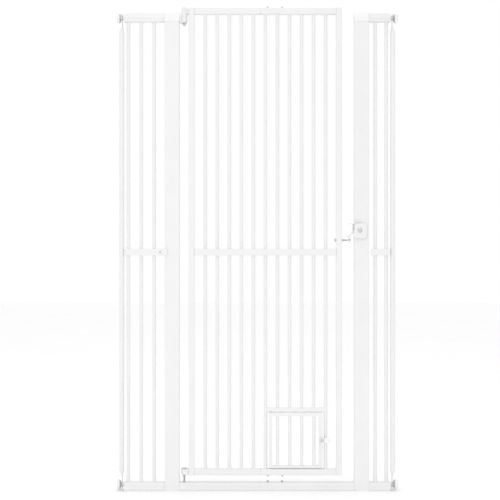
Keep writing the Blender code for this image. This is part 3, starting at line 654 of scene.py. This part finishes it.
def strike_pin():
    """The rod through the lock stile: acorn nut inside, lock nut outside and a flared end for the claw."""
    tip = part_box("strike_pin")[1].x
    centre = tuple(middle("strike_pin").yz)
    stile_low, stile_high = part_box("door_lock_stile")
    inside = stile_low.x - GAP
    outside = stile_high.x + GAP
    nut_base = outside + THIN_WASHER
    acorn = [
        (0.0, CORE), (0.0, 0.0058), (-0.0006, 0.0062), (-0.0030, 0.0062), (-0.0036, 0.0054),
        (-0.0048, 0.0046), (-0.0057, 0.0030), (-0.0060, 0.0006),
    ]
    flare = filleted([
        (-FLARE_LENGTH, 0.0030), (-0.0097, 0.0032), (-0.0014, 0.0065), (-0.0004, 0.0065), (0.0, 0.0058),
        (0.0, 0.0006),
    ], 0.0006)
    flare_neck = (-FLARE_LENGTH - FLARE_NECK, CORE)
    parts = [
        solid(turned("X", centre, moved(acorn, inside), HEX_SIDES, hexagonal(STRIKE_ACORN_FLATS))),
        rod("X", centre, inside - OVERLAP, outside + STRIKE_ROD_OUT, STRIKE_ROD_RADIUS),
        solid(turned("X", centre, moved(washer(STRIKE_WASHER_RADIUS, THIN_WASHER), outside), BOLT_SIDES)),
        hexagon_nut("X", centre, nut_base, nut_base + NUT_HEIGHT, STRIKE_NUT_FLATS, STRIKE_ROD_RADIUS),
        solid(thread("X", centre, nut_base, tip - THREAD_END_FROM_TIP, STRIKE_THREAD_RADIUS)),
        solid(turned("X", centre, moved([flare_neck] + flare, tip))),
    ]
    piece("strike_pin_set", "door", "zinc", parts, ["strike_pin"])


def lock_knob():
    """The claw's flat-headed pivot screw in front of the cover, with a white cap in its recess that is a
    painted highlight in the middle of the screw's head.
    """
    low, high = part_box("lock_knob")
    centre = middle("lock_knob")
    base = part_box("lock_cover")[0].y - GAP
    around = (centre.x, centre.z)
    front = low.y
    head = [
        (base, CORE), (base, 0.0073), (base - 0.0006, 0.0076), (front + 0.0016, 0.0076),
        (front + 0.0004, 0.0069), (front, 0.0062), (front, 0.0044), (front + 0.0004, 0.0040),
        (front + 0.0018, 0.0039), (front + 0.0018, 0.0006),
    ]
    parts = [
        solid(turned("Y", around, head)),
        rod("Y", around, base - OVERLAP, high.y, LOCK_SCREW_RADIUS),
    ]
    piece("lock_pivot_screw", "lock_claw", "zinc", parts, ["lock_knob"])
    # The white cap is a painted highlight: it stands for the bright reflection in the middle of the screw
    # head, not for a real cap.
    highlight_cap = filleted([(0.0017, CORE), (0.0017, 0.0034), (0.0008, 0.0031), (0.0006, CORE)], 0.0006)
    rings = turned("Y", around, moved(highlight_cap, front), BOLT_SIDES)
    piece("lock_pivot_highlight_cap", "lock_claw", "plastic", [solid(rings)])


def claw_fold():
    """The claw's stiffening fold: its arm's left edge turned forwards, from the tab down to the bend."""
    low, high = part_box("lock_claw")
    pivot = joint_place("lock_claw_lift")
    left = pivot[0] + FOLD_LEFT
    front = low.y + GAP
    bottom = pivot[2] + FOLD_BOTTOM
    outline = rounded_box((left, bottom), (left + FOLD_SHEET, high.z + FOLD_TOP), FOLD_CORNER)
    rings = slab("Y", outline, front, front + FOLD_DEPTH, PLATE_EDGE)
    piece("claw_arm_fold", "lock_claw", "powder", [solid(rings)])


# Cat door

def cat_latch():
    """A ribbed turn knob with a dished face, and its bright tongue, stem and a zinc stop pin whose dark tone
    is also painted shade for the gap at the knob's upper left.
    """
    low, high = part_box("cat_door_latch")
    knob_radius = (high.z - low.z) / 2
    around = (high.x - knob_radius, (low.z + high.z) / 2)
    front = low.y

    def ribbed(_, radius, angle):
        grip = RIB_HEIGHT if radius > knob_radius * RIBBED_FROM else 0.0
        return radius - grip * (0.5 + 0.5 * math.cos(KNOB_RIBS * angle))

    knob = filleted([
        (0.0110, CORE), (0.0110, 0.0104), (0.0096, 0.0120), (0.0040, 0.0120), (0.0012, 0.0106),
        (0.0, 0.0088), (0.0, 0.0070), (0.0007, 0.0056), (0.0009, CORE),
    ], 0.0008)
    rings = turned("Y", around, moved(knob, front), KNOB_RIBS * SIDES_PER_RIB, ribbed)
    piece("cat_latch_knob", "cat_latch", "plastic", [solid(rings)], ["cat_door_latch"])
    tongue = [
        (-0.0250, -0.0075), (-0.0125, -0.0075), (-0.0105, -0.0045), (0.0000, -0.0045), (0.0045, 0.0000),
        (0.0000, 0.0045), (-0.0250, 0.0025),
    ]
    outline = filleted([(around[0] + u, around[1] + v) for u, v in tongue], 0.0015, closed=True)
    # The stop pin is partly a stop and partly painted shade: its dark zinc stands for the shadow in the gap
    # at the knob's upper left.
    stop_and_shade_pin = (around[0] + STOP_AND_SHADE_PIN_FROM_AXIS[0], around[1] + STOP_AND_SHADE_PIN_FROM_AXIS[1])
    stop_and_shade_pin_profile = list(zip(STOP_AND_SHADE_PIN_Y, STOP_AND_SHADE_PIN_RADII))
    parts = [
        solid(slab("Y", outline, front + TONGUE_Y[0], front + TONGUE_Y[1], PLATE_EDGE)),
        rod("Y", around, front + KNOB_STEM_START, high.y, KNOB_STEM_RADIUS),
        solid(turned("Y", stop_and_shade_pin, moved(stop_and_shade_pin_profile, front), BOLT_SIDES)),
    ]
    piece("cat_latch_tongue", "cat_latch", "zinc", parts)


def cat_door_pivots():
    """Bright pins and nylon washers above and below the cat door's hinge side."""
    header_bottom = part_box("cat_door_header")[0].z
    rail_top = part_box("door_bottom_rail_right")[1].z
    axis = tuple(joint_place("cat_door_hinge")[:2])
    low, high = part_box("cat_door_grille")
    grille_top = high.z - PIVOT_REACH
    grille_bottom = low.z + PIVOT_REACH
    parts = [
        rod("Z", axis, grille_top - OVERLAP, header_bottom + OVERLAP, PIVOT_RADIUS),
        rod("Z", axis, rail_top - OVERLAP, grille_bottom + OVERLAP, PIVOT_RADIUS),
    ]
    piece("cat_door_pivot_pins", "cat_door", "zinc", parts)
    profile = washer(SMALL_WASHER_RADIUS, THICK_WASHER)
    parts = [
        solid(turned("Z", axis, moved(profile, grille_top), BOLT_SIDES)),
        solid(turned("Z", axis, moved(profile, grille_bottom, -1), BOLT_SIDES)),
    ]
    piece("cat_door_pivot_washers", "cat_door", "plastic", parts)


# Welds, plugs and rivets

def bead(x, base, sign):
    """The weld where a bar meets a rail: a low, slightly uneven collar."""
    collar = [
        (0.0, -0.0004), (0.0, 0.0013), (0.0003, 0.0012), (0.0008, 0.0006), (0.0014, 0.0002), (0.0020, 0.0),
        (0.0020, -0.0004),
    ]
    profile = [(along, BAR_RADIUS + proud) for along, proud in collar]

    def uneven(_, reach, angle):
        proud = max(reach - BAR_RADIUS, 0.0)
        wide_waves = 0.25 * math.sin(3 * angle + 40 * x)
        short_waves = 0.15 * math.sin(7 * angle + 90 * x)
        return reach + proud * (wide_waves + short_waves)

    return ring_shaped(turned("Z", (x, 0.0), moved(profile, base, sign), BOLT_SIDES, uneven))


def bar_welds():
    frame_beads = []
    door_beads = []
    for name in frame["nodes"]:
        if "_bar_" in name:
            low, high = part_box(name)
            x = (low.x + high.x) / 2
            beads = [bead(x, low.z - GAP, 1), bead(x, high.z + GAP, -1)]
            if name.startswith("door"):
                door_beads += beads
            else:
                frame_beads += beads
    piece("wing_bar_welds", "frame", "powder", frame_beads)
    piece("door_bar_welds", "door", "powder", door_beads)


def painted_joints(name, body, ends):
    """Closes the hairline between a rail and an upright; ends are (node, side, clear around, gap)."""
    parts = []
    for node, side, clear, gap in ends:
        low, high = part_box(node)
        face = high.x if side > 0 else low.x
        reach = sorted((face - side * JOINT_OVERLAP, face + side * (gap + JOINT_PRESS)))
        outline = rounded_box((low.y + clear, low.z + clear), (high.y - clear, high.z - clear), TUBE_CORNER)
        parts.append(solid(slab("X", outline, *reach, JOINT_EDGE)))
    piece(name, body, "powder", parts)


def plug(name, body, node, at_top, at_bottom):
    """Rounded plastic plugs in the ends of an upright tube."""
    low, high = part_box(node)
    clear = TUBE_WALL + GAP / 3
    corner = TUBE_CORNER - TUBE_WALL
    outline = rounded_box((low.x + clear, low.y + clear), (high.x - clear, high.y - clear), corner)
    parts = []
    if at_top:
        parts.append(solid(slab("Z", outline, high.z - PLUG_DEPTH, high.z + PLUG_EDGE, PLUG_EDGE)))
    if at_bottom:
        parts.append(solid(slab("Z", outline, low.z, low.z + PLUG_DEPTH, PLUG_EDGE)))
    piece(name, body, "plastic", parts)


def mid_rail_rivet():
    """The flat-headed screw beside the step of the left wing's mid rail."""
    low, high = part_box("left_wing_mid_rail")
    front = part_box("right_wing_mid_rail")[0].y
    around = (RIVET_X, (low.z + high.z) / 2)
    head = filleted([
        (0.0004, CORE), (0.0004, 0.0036), (-0.0006, 0.0036), (-0.0014, 0.0026), (-0.0016, 0.0008),
    ], 0.0004)
    piece("mid_rail_screw", "frame", "zinc", [solid(turned("Y", around, moved(head, front), BOLT_SIDES))])


# Studio

def soft_light(name, place, target, size, energy):
    """An area light that faces target, and that the camera doesn't see."""
    light = bpy.data.lights.new(name, "AREA")
    light.shape = "RECTANGLE"
    light.size, light.size_y = size
    light.energy = energy
    lamp = bpy.data.objects.new(name, light)
    lamp.location = place
    lamp.rotation_mode = "QUATERNION"
    lamp.rotation_quaternion = (Vector(target) - Vector(place)).to_track_quat("-Z", "Y")
    lamp.visible_camera = False
    bpy.context.scene.collection.objects.link(lamp)


def studio():
    """A white surround, the soft lights, a pale floor and the camera."""
    scene = bpy.context.scene
    scene.view_settings.view_transform = "Standard"
    world = bpy.data.worlds.new("studio_white")
    world.use_nodes = True
    world.node_tree.nodes["Background"].inputs["Color"].default_value = (1.0, 1.0, 1.0, 1.0)
    world.node_tree.nodes["Background"].inputs["Strength"].default_value = 1.0
    scene.world = world
    for light in LIGHTS:
        soft_light(*light)
    shape = bmesh.new()
    bmesh.ops.create_grid(shape, x_segments=FLOOR_CELLS, y_segments=FLOOR_CELLS, size=FLOOR_REACH)
    mesh = bpy.data.meshes.new("studio_floor")
    shape.to_mesh(mesh)
    shape.free()
    mesh.materials.append(floor_finish())
    floor = bpy.data.objects.new("studio_floor", mesh)
    scene.collection.objects.link(floor)
    lens = bpy.data.cameras.new("camera")
    lens.sensor_width = SENSOR_WIDTH
    lens.lens = CAMERA_LENS
    camera = bpy.data.objects.new("camera", lens)
    camera.location = CAMERA_PLACE
    camera.rotation_euler = (math.pi / 2, 0.0, 0.0)
    scene.collection.objects.link(camera)
    scene.camera = camera


finish_nodes()
for mount_place, mount_sign in PLACES:
    wall_cup(mount_place, mount_sign)
    spindle(mount_place, mount_sign)
    hand_nut(mount_place, mount_sign)
splice("door_top", "door", "door_top_rail_right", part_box("door_top_rail_right")[1].z, 1)
splice("door_bottom", "door", "door_bottom_rail_right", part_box("door_bottom_rail_right")[0].z, -1)
splice("threshold", "frame", "threshold_right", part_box("threshold_right")[1].z, 1)
top_hinge()
bottom_hinge()
strike_pin()
lock_knob()
claw_fold()
cat_latch()
cat_door_pivots()
bar_welds()
painted_joints("frame_joints", "frame", (
    ("left_wing_top_rail", 1, STEPPED_CLEAR, GAP),
    ("left_wing_bottom_rail", 1, FLUSH_CLEAR, GAP),
    ("threshold_left", -1, FLUSH_CLEAR, GAP),
    ("threshold_right", 1, FLUSH_CLEAR, GAP),
    ("right_wing_bottom_rail", -1, FLUSH_CLEAR, GAP),
    ("right_wing_top_rail", -1, STEPPED_CLEAR, GAP),
))
painted_joints("door_joints", "door", (
    ("door_top_rail_left", -1, FLUSH_CLEAR, GAP),
    ("door_top_rail_right", 1, FLUSH_CLEAR, GAP),
    ("door_bottom_rail_left", -1, FLUSH_CLEAR, GAP),
    ("door_bottom_rail_right", 1, FLUSH_CLEAR, GAP),
    ("cat_door_header", -1, FLUSH_CLEAR, GAP + BAR_RADIUS),
    ("cat_door_header", 1, FLUSH_CLEAR, GAP + BAR_RADIUS),
))
plug("door_hinge_stile_plugs", "door", "door_hinge_stile", True, True)
plug("door_lock_stile_plugs", "door", "door_lock_stile", True, True)
plug("left_post_foot_plug", "frame", "left_post", False, True)
plug("right_post_foot_plug", "frame", "right_post", False, True)
mid_rail_rivet()
studio()
